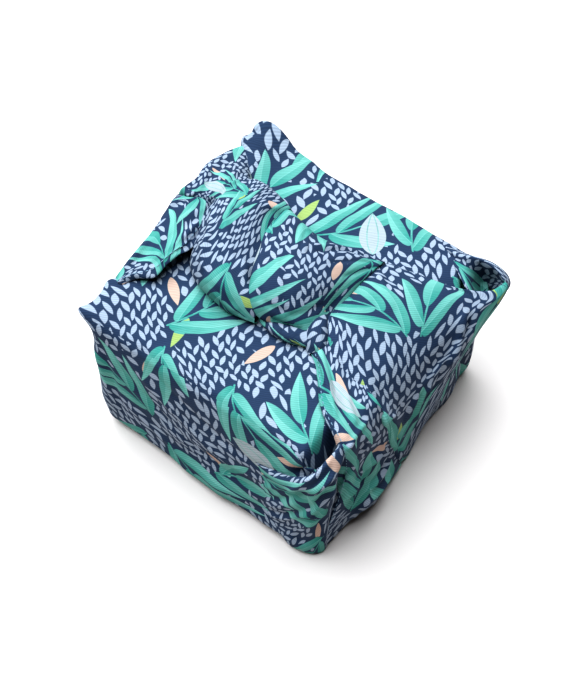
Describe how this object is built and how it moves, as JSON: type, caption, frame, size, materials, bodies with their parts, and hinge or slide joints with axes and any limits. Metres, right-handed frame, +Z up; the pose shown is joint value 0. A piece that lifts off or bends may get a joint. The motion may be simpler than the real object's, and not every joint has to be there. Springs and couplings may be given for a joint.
{
  "type": "furoshiki wrap",
  "caption": "Square hemmed cloth folded round a box as a hollow parcel, its two side corners tied in a flat knot on top.",
  "frame": {"origin": "middle of the footprint's box, on the surface the wrap stands on", "axes": "+Z up; the wrapped box's sides face -X, +X, -Y and +Y; the tied corners come over the -X and +X sides"},
  "size_m": [0.1804, 0.1738, 0.1164],
  "materials": {
    "printed_cotton": "fine ribbed cotton weave with a soft sheen, navy with a printed sprig of teal leaves and pale seeds"
  },
  "bodies": {
    "root": {"wrap_cloth": "printed_cotton"}
  },
  "joints": []
}
